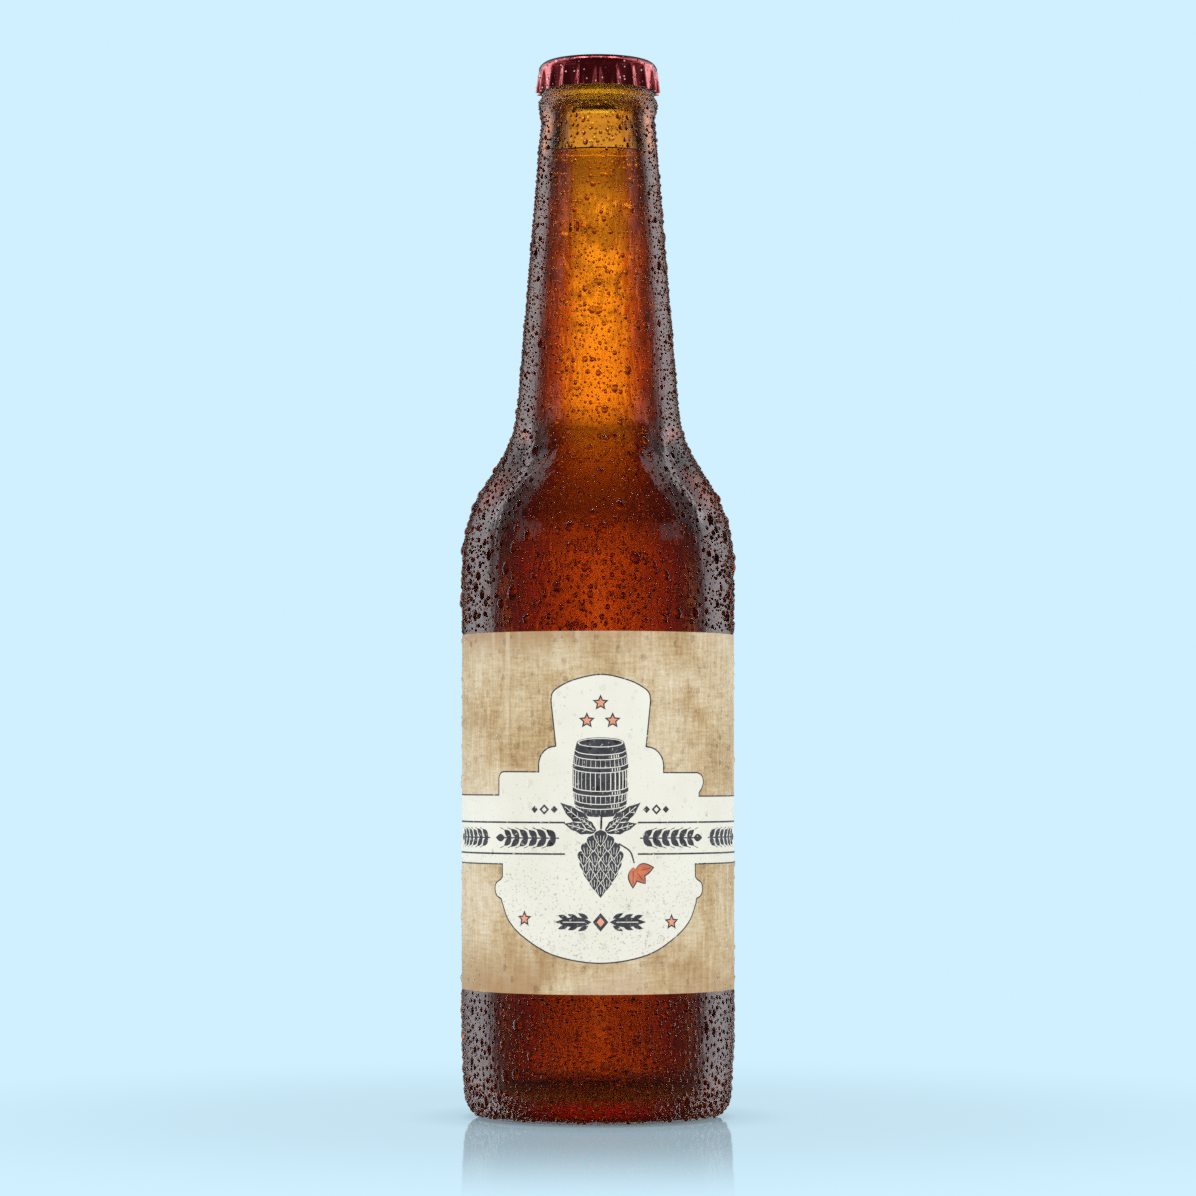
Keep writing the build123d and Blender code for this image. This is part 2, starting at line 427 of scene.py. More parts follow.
# ears of barley between the rules, all round
def ear(x0, x1, z=61.75):
    way = 1 if x1 > x0 else -1
    bar(x0, z, x1, z, 0.30)
    n = int(abs(x1 - x0) / 2.2)
    for k in range(n):
        x = x0 + way * (0.7 + 2.2 * k)
        size = 0.95 + 0.06 * math.sin(k * 2.1)
        for up in (1, -1):
            leaf((x + way * 2.35 * size, z + up * 1.95 * size), (x, z + up * 0.12), 1.5)
            bar(x + way * 2.2, z + up * 1.8, x + way * 3.3, z + up * 2.2, 0.16)
    leaf((x1 + way * 1.6, z), (x1 - way * 1.2, z), 1.7)


for x0, x1 in ((8.6, 23.4), (26.9, 41.2), (45.6, 61.0), (65.0, 81.5)):
    ear(x0, x1)
    ear(-x0 - 0.4, -x1 - 0.4)

# small trims on the band's shoulders and under the cone
for sx in (-1, 1):
    for k in range(3):
        r = 0.85 if k == 1 else 0.6
        c = np.array([sx * (12.4 + (k - 1) * 2.3), 67.9])
        add(c + r * np.array([(1.35, 0), (0, 1.35), (-1.35, 0), (0, -1.35)]), INK)
        if k == 1:
            add(c + 0.42 * np.array([(1.35, 0), (0, 1.35), (-1.35, 0), (0, -1.35)]), CREAM)
    leaf((sx * 10.0, 43.8), (sx * 1.9, 43.8), 2.2, n=9)
    bar(sx * 3.4, 43.8, sx * 8.2, 43.8, 0.18, CREAM)
    for k in range(3):
        x = 2.6 + 2.2 * k
        for up in (1, -1):
            leaf((sx * (x + 2.3), 43.8 + up * (1.95 - 0.25 * k)), (sx * x, 43.8 + up * 0.75), 0.95)
add(np.array([(1.7, 0), (0, 2.0), (-1.7, 0), (0, -2.0)]) + (0, 43.8), INK)
add(np.array([(0.85, 0), (0, 1.0), (-0.85, 0), (0, -1.0)]) + (0, 43.8), SALMON)

# a cask: bulged body, staves, four hoops and an open head
cask_lo, cask_hi, cask_end, cask_mid = 67.4, 82.2, 5.15, 6.15


def bulge(z):
    t = (z - cask_lo) / (cask_hi - cask_lo) * 2 - 1
    return cask_end + (cask_mid - cask_end) * (1 - t * t)


zs = np.linspace(cask_lo, cask_hi, 15)
right = np.c_[bulge(zs), zs]
left = np.c_[-bulge(zs), zs][::-1]
foot = arc((0, cask_lo), cask_end, 1.15, 180, 360, 14)
head = arc((0, cask_hi), cask_end, 1.15, 0, 180, 14)
add(np.vstack([foot[:-1], right[:-1], head[:-1], left[:-1]]), INK)


def sag(z, q):
    """How far a hoop's or stave's end drops below its height at q, a share of the half width."""
    return z - 1.15 * math.sqrt(max(0.0, 1 - q * q))


for k in range(-8, 9):
    q = math.sin(math.radians(k * 10.4))
    w = 0.10 + (0.13 if q > 0.25 else 0.03) + 0.04 * math.sin(k * 5)
    z_a, z_b = cask_lo + 0.5, cask_hi - 1.6
    zz = np.linspace(z_a, z_b, 9) if q <= 0.25 or k % 2 else np.linspace(z_a + 2, z_b - 1, 9)
    shape = np.c_[q * bulge(zz), zz - 1.15 * math.sqrt(1 - q * q) * 0.9]
    taper = np.sin(np.linspace(0.15, math.pi - 0.15, 9))[:, None] * w / 2
    add(np.vstack([shape + taper * (1, 0), (shape - taper * (1, 0))[::-1]]), CREAM)
for z in (69.6, 72.4, 77.4, 80.2):
    q = np.linspace(-0.995, 0.995, 15)
    for h, m in ((0.62, CREAM), (0.44, INK)):
        low = np.array([(a * bulge(z), sag(z, a) - h) for a in q])
        top = np.array([(a * bulge(z), sag(z, a) + h) for a in q])
        add(np.vstack([low, top[::-1]]), m)
    for a in (0.42, 0.52, 0.61, 0.69):
        x = a * bulge(z)
        add([(x - 0.09, sag(z, a) - 0.34), (x + 0.09, sag(z, a) - 0.34), (x + 0.09, sag(z, a) + 0.34), (x - 0.09, sag(z, a) + 0.34)], CREAM)
add(arc((0, cask_hi), 4.95, 1.0, 0, 360, 30)[:-1], CREAM)
add(arc((0, cask_hi), 4.65, 0.82, 0, 360, 30)[:-1], INK)

# two hop leaves spread under the cask
for sx in (-1, 1):
    for tip, root, wid in (((8.8, 69.4), (1.2, 63.2), 2.9), ((8.0, 64.9), (1.0, 63.0), 2.3), ((4.6, 66.3), (0.9, 63.2), 1.7)):
        tip, root = (sx * tip[0], tip[1]), (sx * root[0], root[1])
        leaf(tip, root, wid + 0.35, CREAM, 11)
        leaf(tip, root, wid, INK, 13, 0.12)
        r, t = np.array(root), np.array(tip)
        bar(*(r + (t - r) * 0.12), *(r + (t - r) * 0.86), 0.15, CREAM)
        for f in (0.3, 0.48, 0.66):
            m = r + (t - r) * f
            for up in (1, -1):
                v = (t - r) / np.hypot(*(t - r))
                side_v = np.array([-v[1], v[0]]) * up
                e = m + (v * 0.9 + side_v * 0.8) * (1 - 0.5 * f) * wid * 0.42
                bar(*m, *e, 0.11, CREAM)


# a hop cone: rows of overlapping bracts, the lowest first
def bract(x, z, w, h):
    t = np.linspace(0, 1, 9)
    edge = np.sin(math.pi * np.clip(t, 0, 1) ** 0.62) * w / 2
    edge[0] = 0.0
    down = np.c_[edge, z + h * 0.45 - h * t]
    loop = np.vstack([down[1:-1], [(0, z - h * 0.55)], (down[1:-1] * (-1, 1))[::-1], [(0, z + h * 0.45)]])
    loop[:, 0] += x
    loop = loop[::-1]
    add(grown(loop, 0.13), CREAM)
    add(loop, INK)
    for dx in (-0.28, 0.0, 0.28):
        bar(x + dx * w, z + h * 0.1, x + dx * w * 0.55, z - h * 0.32, 0.10, CREAM)


bar(0, 61.5, 0.2, 66.4, 0.42)
for row_z, xs in ((50.9, (0,)), (52.5, (-1.25, 1.25)), (54.2, (-2.3, 0, 2.3)), (55.9, (-3.0, -1.0, 1.0, 3.0)), (57.7, (-3.4, -1.15, 1.15, 3.4)),
                  (59.4, (-2.7, 0, 2.7)), (60.9, (-1.5, 1.5)), (62.0, (0,))):
    for x in xs:
        bract(x * 1.06, row_z, 2.75, 3.5)

# one rust-red leaf hanging at the right, on its own stalk
stalk = spline([(3.9, 60.6), (6.4, 58.9), (7.3, 56.4)], 6)
for a, b in zip(stalk, stalk[1:]):
    bar(*a, *b, 0.34)
for tip, root, wid in (((11.9, 55.5), (7.3, 54.6), 2.4), ((9.9, 51.9), (7.2, 55.2), 2.2), ((7.0, 50.9), (7.1, 55.6), 1.9)):
    leaf(tip, root, wid + 0.5, INK, 11)
for tip, root, wid in (((11.9, 55.5), (7.3, 54.6), 2.4), ((9.9, 51.9), (7.2, 55.2), 2.2), ((7.0, 50.9), (7.1, 55.6), 1.9)):
    r, t = np.array(root), np.array(tip)
    leaf(r + (t - r) * 0.92, r, wid, RUST, 11)
    bar(*(r + (t - r) * 0.2), *(r + (t - r) * 0.8), 0.14, INK)


def cut_label():
    lap = 8.0 / R_s
    pts, edges, faces = [], [], []

    def put(p):
        pts.append(Vector((float(p[0]), float(p[1]))))
        return len(pts) - 1

    grid = np.linspace(-S, S, 151)
    lap_at = S - lap * R_s
    grid = np.sort(np.concatenate([grid[np.abs(grid - lap_at) > 0.5], [lap_at - 0.15, lap_at + 0.15]]))
    lows = [put((s, label_z0)) for s in grid]
    highs = [put((s, label_z1)) for s in grid]
    edges += [(a, b) for a, b in zip(lows, highs)]
    edges += [(a, b) for a, b in zip(lows, lows[1:])] + [(a, b) for a, b in zip(highs, highs[1:])]
    for loop, _ in shapes:
        ids = [put(p) for p in loop]
        faces.append(ids)
    v, _, f, _, _, src = delaunay_2d_cdt(pts, edges, faces, 0, 1e-5, True)
    v = np.array([tuple(p) for p in v])
    tri = np.array([t for t in f], np.int64)
    mats = np.array([shapes[max(s)][1] if len(s) else KRAFT for s in src])
    # turn every triangle to face the same way
    a, b, c = v[tri[:, 0]], v[tri[:, 1]], v[tri[:, 2]]
    area = (b[:, 0] - a[:, 0]) * (c[:, 1] - a[:, 1]) - (b[:, 1] - a[:, 1]) * (c[:, 0] - a[:, 0])
    flip = area < 0
    tri[flip] = tri[flip][:, ::-1]
    th = v[:, 0] / R_s
    r_out = R_s + 0.1 * np.clip((th - (half_way - lap)) / 0.01 + 0.5, 0, 1)
    r_in = body_r - 0.05
    n = len(v)
    top = np.c_[r_out * np.sin(th), -r_out * np.cos(th), v[:, 1]]
    low = np.c_[r_in * np.sin(th), -r_in * np.cos(th), v[:, 1]]
    # boundary edges of the sheet are those with one triangle
    e = np.concatenate([tri[:, [0, 1]], tri[:, [1, 2]], tri[:, [2, 0]]])
    key = np.sort(e, 1) @ np.array([n, 1])
    _, first, count = np.unique(key, return_index=True, return_counts=True)
    rim = e[first[count == 1]]
    wall = np.c_[rim[:, 1], rim[:, 0], rim[:, 0] + n, rim[:, 1] + n]
    me = mesh_from("paper_label", np.vstack([top, low]), [tri, tri[:, ::-1] + n, wall])
    index = np.concatenate([mats, np.full(len(tri), KRAFT), np.full(len(wall), CREAM)]).astype(np.int32)
    assert len(index) == len(me.polygons)
    me.polygons.foreach_set("material_index", index)
    me.set_sharp_from_angle(angle=math.radians(50))
    return link("paper_label", me)


label = cut_label()


# ------------------------------------------------------------------ water drops
class Skin:
    """A surface of revolution as a line from low to high, with its length, radius, height and outward normal."""

    def __init__(self, profile):
        p = np.asarray(profile, float)
        d = np.linalg.norm(np.diff(p, axis=0), axis=1)
        keep = np.concatenate([[True], d > 1e-6])
        p = p[keep]
        self.l = np.concatenate([[0], np.cumsum(np.linalg.norm(np.diff(p, axis=0), axis=1))])
        self.r, self.z = p[:, 0], p[:, 1]
        t = np.gradient(p, self.l, axis=0)
        t /= np.linalg.norm(t, axis=1, keepdims=True)
        self.nr, self.nz = t[:, 1], -t[:, 0]

    def at(self, l):
        return [np.interp(l, self.l, a) for a in (self.r, self.z, self.nr, self.nz)]

    def length_at(self, z):
        return np.interp(z, self.z, self.l)


k0 = int(np.argmax(outer[:, 0] > body_r - 3.4))
side_of = outer[(np.arange(len(outer)) >= k0) & (outer[:, 1] < 226.2)]
side_of = side_of[np.concatenate([[True], np.diff(side_of[:, 1]) > 1e-6])]
glass_skin = Skin(side_of)
label_skin = Skin([(R_s, label_z0), (R_s, label_z1)])


def drops(name, skin, th, l, R, H, seg, rings, sag=0.0, tall=0.0, wild=0.0, sink=0.05):
    """Closed domes of water sitting on a skin. R and H are each drop's radius and height."""
    n = len(th)
    a = np.arange(seg) * 2 * math.pi / seg
    p2, p3 = rng.uniform(0, 2 * math.pi, (2, n, 1))
    c2, c3 = rng.normal(0, 1, (2, n, 1)) * wild
    sag = np.broadcast_to(np.asarray(sag, float).reshape(-1, 1), (n, 1))
    tall = np.broadcast_to(np.asarray(tall, float).reshape(-1, 1), (n, 1))
    shape = 1 + c2 * np.cos(2 * (a - p2)) + c3 * np.cos(3 * (a - p3))
    shape = np.clip(shape, 0.6, 1.5)
    full = (H + sink)[:, None]
    hr = full / R[:, None]
    Rs = (1 + hr**2) / (2 * hr)
    rows = []
    spin = rng.uniform(0, 2 * math.pi, (n, 1)) if wild else 0
    for j in range(rings + 1):
        t = j / rings
        if hr.max() < 0.999:
            phi = np.arcsin(np.clip(1 / Rs, 0, 1)) * (1 - t)
        else:
            phi = np.where(hr < 1, np.arcsin(np.clip(1 / Rs, 0, 1)), math.pi - np.arcsin(np.clip(1 / Rs, 0, 1))) * (1 - t)
        rho, h = Rs * np.sin(phi), Rs * np.cos(phi) - (Rs - hr)
        if j == rings:
            u, v = np.zeros((n, 1)), np.zeros((n, 1))
        else:
            u, v = rho * shape * np.cos(a), rho * shape * np.sin(a)
        v = v * (1 + tall) - sag * np.clip(h / hr, 0, 1)
        hh = np.broadcast_to(h, u.shape) * R[:, None] - sink
        uu, vv = u * R[:, None], v * R[:, None]
        r, z, nr, nz = skin.at(l[:, None] + vv)
        ang = th[:, None] + uu / np.maximum(r, 1)
        x = (r + nr * hh)
        rows.append(np.stack([x * np.sin(ang), -x * np.cos(ang), z + nz * hh], -1))
    verts = np.concatenate(rows, 1)
    per = verts.shape[1]
    q, t3 = [], []
    for j in range(rings - 1):
        for k in range(seg):
            m = (k + 1) % seg
            q.append((j * seg + k, j * seg + m, (j + 1) * seg + m, (j + 1) * seg + k))
    last = (rings - 1) * seg
    for k in range(seg):
        t3.append((last + k, last + (k + 1) % seg, rings * seg))
    base = [tuple(range(seg - 1, -1, -1))]
    off = (np.arange(n) * per)[:, None, None]
    groups = []
    for g in (q, t3, base):
        if g:
            g = np.array(g)
            groups.append((g[None] + off).reshape(-1, g.shape[1]))
    me = mesh_from(name, verts.reshape(-1, 3), groups, sharp=58)
    return link(name, me)


def behind(th):
    """0 on the front and the sides, 1 round the back, where the bottle is drier."""
    k = np.clip((np.abs(th) - math.radians(95)) / math.radians(45), 0, 1)
    return k * k * (3 - 2 * k)


def wetness(th):
    """How dense the drops are round the bottle: most at the sides, fewest behind."""
    side = np.exp(-(((np.abs(th) - math.radians(76)) / math.radians(24)) ** 2))
    return np.clip(0.62 + 0.38 * side - 0.4 * behind(th), 0, 1)


def scatter(n, th_range, l_range, skin, radius, gap, blockers=None, tries=None):
    """Drops thrown at random, none nearer to another than the two radii plus gap. Returns th, l, R."""
    th_all = rng.uniform(*th_range, n)
    # even over the area: more drops where the skin is wider
    l_all = rng.uniform(*l_range, n)
    keep = rng.uniform(0, 1, n) < skin.at(l_all)[0] / skin.at(np.linspace(*l_range, 50))[0].max() * wetness(th_all)
    th_all, l_all = th_all[keep], l_all[keep]
    R_all = radius[: len(th_all)]
    order = np.argsort(-R_all)
    th_all, l_all, R_all = th_all[order], l_all[order], R_all[order]
    r_all = skin.at(l_all)[0]
    x_all = np.stack([r_all * np.sin(th_all), -r_all * np.cos(th_all), skin.at(l_all)[1]], 1)
    cell = 2.2 * R_all.max() + gap
    grid = {}
    if blockers is not None:
        for p, r in blockers:
            grid.setdefault(tuple((p // cell).astype(int)), []).append((p[0], p[1], p[2], r))
    kept = []
    keys = (x_all // cell).astype(int)
    for i in range(len(th_all)):
        cx_, cy_, cz_ = keys[i]
        px, py, pz = x_all[i]
        ri = R_all[i]
        ok = True
        for dx in (-1, 0, 1):
            for dy in (-1, 0, 1):
                for dz in (-1, 0, 1):
                    for q in grid.get((cx_ + dx, cy_ + dy, cz_ + dz), ()):
                        d2 = (q[0] - px) ** 2 + (q[1] - py) ** 2 + (q[2] - pz) ** 2
                        if d2 < (q[3] + ri + gap) ** 2:
                            ok = False
                            break
                    if not ok:
                        break
                if not ok:
                    break
            if not ok:
                break
        if ok:
            kept.append(i)
            grid.setdefault((cx_, cy_, cz_), []).append((px, py, pz, ri))
    kept = np.array(kept, int)
    return th_all[kept], l_all[kept], R_all[kept], [(x_all[i], R_all[i]) for i in kept]


def height(th, R, lo, hi):
    """Drop heights: lo to hi times the radius, lower at the back."""
    return R * rng.uniform(lo, hi, len(R)) * (1 - 0.5 * behind(th))


def fit(R, lo, hi, power):
    return lo + (hi - lo) * R**power


full_turn = (-math.pi, math.pi)
L = glass_skin.length_at
z_low, z_lab0, z_lab1, z_top = 0.75, label_z0 - 0.25, label_z1 + 0.25, 222.0
shoulder_a = 140.0
water = []

# large beads and ovals, few
zones = [  # z from, z to, tries, radius range, spread power
    (z_lab1 + 1.2, 140.0, 300, 0.66, 1.2, 2.0),
    (140.0, 208.0, 230, 0.56, 1.0, 2.4),
    (z_low + 3.5, z_lab0 - 1.2, 160, 0.75, 1.2, 2.0),
]
big, blocks = [], []
for z0, z1, n, lo, hi, pw in zones:
    t, l, R, b = scatter(n, full_turn, (L(z0), L(z1)), glass_skin, fit(rng.random(n), lo, hi, pw), 0.6, blocks or None)
    big.append((t, l, R))
    blocks += b
t, l, R = (np.concatenate(x) for x in zip(*big))
flat = np.where(l < L(z_lab0), 0.62, 1.0)
water.append(drops("drops_large", glass_skin, t, l, R, height(t, R, 0.5, 0.72) * flat, 24, 6,
                   sag=rng.uniform(0.05, 0.3, len(R)), tall=rng.uniform(0.05, 0.5, len(R)), wild=0.04))

# middling drops
mid = []
for z0, z1, n, lo, hi, pw in (
    (z_lab1 + 0.9, shoulder_a, 1700, 0.36, 0.64, 1.6),
    (206.0, 223.0, 260, 0.36, 0.62, 1.5),
    (shoulder_a, 221.0, 1900, 0.32, 0.56, 1.7),
):
    t, l, R, b = scatter(n, full_turn, (L(z0), L(z1)), glass_skin, fit(rng.random(n), lo, hi, pw), 0.16, blocks)
    mid.append((t, l, R))
    blocks += b
t, l, R = (np.concatenate(x) for x in zip(*mid))
water.append(drops("drops_middling", glass_skin, t, l, R, height(t, R, 0.6, 0.85), 12, 4,
                   sag=rng.uniform(0.0, 0.25, len(R)), tall=rng.uniform(-0.05, 0.3, len(R)), wild=0.05))

# fine drops, by zone
for name, z0, z1, n, lo, hi, gap in (
    ("drops_fine_low", z_lab1 + 0.4, 131.0, 5400, 0.18, 0.37, 0.13),
    ("drops_fine_shoulder", 131.0, 158.0, 7400, 0.17, 0.35, 0.13),
    ("drops_fine_neck", 158.0, z_top + 3.0, 12500, 0.15, 0.33, 0.13),
):
    t, l, R, b = scatter(n, full_turn, (L(z0), L(z1)), glass_skin, fit(rng.random(n), lo, hi, 1.5), gap, blocks)
    water.append(drops(name, glass_skin, t, l, R, height(t, R, 0.65, 0.95), 8, 3, sag=0.1, tall=0.05, wild=0.04, sink=0.03))

# packed flat cells below the label
t, l, R, b = scatter(12000, full_turn, (L(z_low), L(z_lab0 - 0.3)), glass_skin, fit(rng.random(12000), 0.24, 0.7, 1.7), 0.06, blocks)
water.append(drops("drops_base", glass_skin, t, l, R, height(t, R, 0.32, 0.48) * np.where(l < L(9.5), 1.6, 1.0), 10, 3, sag=0.06, tall=0.04, wild=0.06, sink=0.03))

# on the label: flatter, sparser
n = 2300
t, l, R, b = scatter(n, full_turn, (0.9, label_z1 - label_z0 - 0.9), label_skin, fit(rng.random(n), 0.2, 0.9, 2.6), 0.45)
on_label = drops("drops_label", label_skin, t, l, R, R * rng.uniform(0.26, 0.42, len(R)) + 0.02, 10, 2, sag=0.05, tall=0.1, wild=0.07, sink=0.03)
on_label.visible_shadow = False
on_label.visible_diffuse = False
water.append(on_label)

# specks on the cap, set back with its flutes
cap_skin = Skin([(skirt_low_r + (skirt_top_r - skirt_low_r) * f, cap_top - cap_h + (cap_h - top_round) * f) for f in np.linspace(0, 1, 12)] + [
    (top_flat_r + (skirt_top_r - top_flat_r) * math.cos(a), cap_top - top_round + top_round * math.sin(a)) for a in np.radians(np.linspace(10, 90, 9))] + [(4.0, cap_top)])
n = 2000
t, l, R, b = scatter(n, full_turn, (0.4, cap_skin.l[-1] - 0.3), cap_skin, fit(rng.random(n), 0.09, 0.24, 2.2), 0.12)
off_rim = (cap_skin.at(l)[1] < cap_top - 1.0) | (cap_skin.at(l)[0] < 9.0)
t, l, R = t[off_rim], l[off_rim], R[off_rim]
on_cap = drops("drops_cap", cap_skin, t, l, R, R * rng.uniform(0.6, 0.9, len(R)), 7, 2, tall=0.05, sink=0.02)
co = np.zeros(len(on_cap.data.vertices) * 3)
on_cap.data.vertices.foreach_get("co", co)
co = co.reshape(len(t), -1, 3)
back = cap_wave(t, cap_skin.at(l)[1])[:, None] * MM
co[:, :, 0] -= back * np.sin(t)[:, None]
co[:, :, 1] += back * np.cos(t)[:, None]
on_cap.data.vertices.foreach_set("co", co.ravel())
on_cap.data.update()
water.append(on_cap)


# ------------------------------------------------------------------ materials
class Tree:
    """Small helpers to write a node tree in a few lines."""

    def __init__(self, nt):
        self.nt = nt

    def node(self, kind, **props):
        n = self.nt.nodes.new(kind)
        for k, v in props.items():
            setattr(n, k, v)
        return n

    def put(self, value, socket):
        if isinstance(value, bpy.types.NodeSocket):
            self.nt.links.new(value, socket)
        else:
            socket.default_value = value

    def math(self, op, a, b=None, c=None):
        n = self.node("ShaderNodeMath", operation=op)
        for i, v in enumerate((a, b, c)):
            if v is not None:
                self.put(v, n.inputs[i])
        return n.outputs[0]

    def ramp(self, fac, stops, mode="LINEAR"):
        n = self.node("ShaderNodeValToRGB")
        n.color_ramp.interpolation = mode
        e = n.color_ramp.elements
        while len(e) < len(stops):
            e.new(0.5)
        for s, (pos, col) in zip(e, stops):
            s.position = pos
            s.color = (*col, 1) if isinstance(col, tuple) else (col, col, col, 1)
        self.put(fac, n.inputs[0])
        return n.outputs[0]

    def smooth(self, x, lo, hi, a=0.0, b=1.0):
        n = self.node("ShaderNodeMapRange", interpolation_type="SMOOTHSTEP")
        for v, s in ((x, "Value"), (lo, "From Min"), (hi, "From Max"), (a, "To Min"), (b, "To Max")):
            self.put(v, n.inputs[s])
        return n.outputs[0]

    def coords(self, scale=(1, 1, 1)):
        tc = self.node("ShaderNodeTexCoord")
        m = self.node("ShaderNodeMapping")
        self.nt.links.new(tc.outputs["Object"], m.inputs[0])
        m.inputs["Scale"].default_value = scale
        return m.outputs[0]

    def noise(self, vec, scale, detail=3.0, rough=0.55, distort=0.0):
        n = self.node("ShaderNodeTexNoise")
        self.put(vec, n.inputs["Vector"])
        for k, v in (("Scale", scale), ("Detail", detail), ("Roughness", rough), ("Distortion", distort)):
            n.inputs[k].default_value = v
        return n.outputs[0]

    def cells(self, vec, scale, feature="F1", rand=1.0):
        n = self.node("ShaderNodeTexVoronoi", feature=feature)
        self.put(vec, n.inputs["Vector"])
        n.inputs["Scale"].default_value = scale
        n.inputs["Randomness"].default_value = rand
        return n.outputs["Distance"]

    def mix(self, fac, a, b, mode="MIX"):
        n = self.node("ShaderNodeMix", data_type="RGBA", blend_type=mode)
        self.put(fac, n.inputs[0])
        self.put((*a, 1) if isinstance(a, tuple) else a, n.inputs[6])
        self.put((*b, 1) if isinstance(b, tuple) else b, n.inputs[7])
        return n.outputs[2]

    def bump(self, height, strength, distance):
        n = self.node("ShaderNodeBump")
        n.inputs["Strength"].default_value = strength
        n.inputs["Distance"].default_value = distance
        self.put(height, n.inputs["Height"])
        return n.outputs[0]


def srgb(r, g, b):
    return tuple(v / 255 / 12.92 if v <= 10 else ((v / 255 + 0.055) / 1.055) ** 2.4 for v in (r, g, b))


def material(name, **values):
    m = bpy.data.materials.new(name)
    m.use_nodes = True
    b = m.node_tree.nodes["Principled BSDF"]
    for k, v in values.items():
        b.inputs[k.replace("_", " ")].default_value = v
    return m, b, Tree(m.node_tree)


def absorber(m, per_metre):
    """Absorption of red, green and blue light, per metre."""
    dens = max(per_metre) * 1.02
    v = m.node_tree.nodes.new("ShaderNodeVolumeAbsorption")
    v.inputs["Color"].default_value = (*(1 - a / dens for a in per_metre), 1)
    v.inputs["Density"].default_value = dens
    m.node_tree.links.new(v.outputs[0], m.node_tree.nodes["Material Output"].inputs["Volume"])


glass_mat, p, t = material("amber_glass_look", Base_Color=(1, 1, 1, 1), Roughness=0.0, IOR=1.5, Transmission_Weight=1.0)
absorber(glass_mat, (29.0, 115.0, 400.0))
film = t.math("ADD", t.noise(t.coords((1, 1, 0.22)), 420.0, 2.0, 0.5, 0.4), t.math("MULTIPLY", t.noise(t.coords(), 45.0, 2.0), 2.0))
z = t.node("ShaderNodeSeparateXYZ")
t.put(t.coords(), z.inputs[0])
# a fine breath of mist just under the cap, and the pressed stipple round the heel
mist = t.smooth(t.math("ADD", z.outputs[2], t.math("MULTIPLY", t.noise(t.coords(), 260.0, 2.0), 0.0012)), 0.2234, 0.2252, 0.0, 1.2)
film = t.math("ADD", film, t.math("MULTIPLY", mist, t.noise(t.coords(), 6000.0, 1.0)))
heel = t.smooth(z.outputs[2], 0.0078, 0.0056, 0.0, 3.2)
film = t.math("ADD", film, t.math("MULTIPLY", heel, t.noise(t.coords(), 1400.0, 1.0)))
t.put(t.bump(film, 0.5, 0.0003), p.inputs["Normal"])
# the hollow underside is rough
span = t.node("ShaderNodeVectorMath", operation="LENGTH")
flat = t.node("ShaderNodeCombineXYZ")
t.put(z.outputs[0], flat.inputs[0])
t.put(z.outputs[1], flat.inputs[1])
t.put(flat.outputs[0], span.inputs[0])
t.put(t.math("MULTIPLY", t.smooth(z.outputs[2], 0.0088, 0.0080, 0.0, 0.5), t.smooth(span.outputs["Value"], 0.0270, 0.0262)), p.inputs["Roughness"])

beer_mat, p, t = material("beer_look", Base_Color=(1, 1, 1, 1), Roughness=0.0, IOR=1.34, Transmission_Weight=1.0)
absorber(beer_mat, (42.0, 82.0, 140.0))
t.put(t.bump(t.noise(t.coords(), 25.0, 1.0), 0.02, 0.0005), p.inputs["Normal"])

def water_look(name, tint):
    """Water: a hair of unevenness on top, and an absorption colour, which for the drops on the glass is a dark
    red-brown, painted shade.
    """
    m, p, t = material(name, Base_Color=(1, 1, 1, 1), Roughness=0.0, IOR=1.333, Transmission_Weight=1.0)
    t.put(t.bump(t.noise(t.coords(), 900.0, 1.0), 0.04, 0.0001), p.inputs["Normal"])
    absorber(m, tint)
    return m


# the water on the glass absorbs as if red-brown: painted shade that makes its drops read as dark red dots, where clear
# water darkens only by refraction
water_painted_dark_mat = water_look("water_on_glass_painted_shade_look", (700.0, 1900.0, 2500.0))
clear_mat = water_look("water_look", (6.0, 4.0, 3.0))


def paper(name, colours, roughness=0.62):
    """Printed paper: fibres, mottling and fine grain over the ink. colours builds the colour from the tree."""
    m, b, t = material(name, IOR=1.45)
    vec = t.coords()
    t.put(colours(t, vec), b.inputs["Base Color"])
    grain = t.noise(t.coords((1, 1, 0.35)), 2600.0, 4.0, 0.6)
    t.put(t.bump(grain, 0.25, 0.00006), b.inputs["Normal"])
    t.put(t.smooth(t.noise(vec, 90.0, 3.0), 0.3, 0.7, roughness - 0.08, roughness + 0.08), b.inputs["Roughness"])
    return m


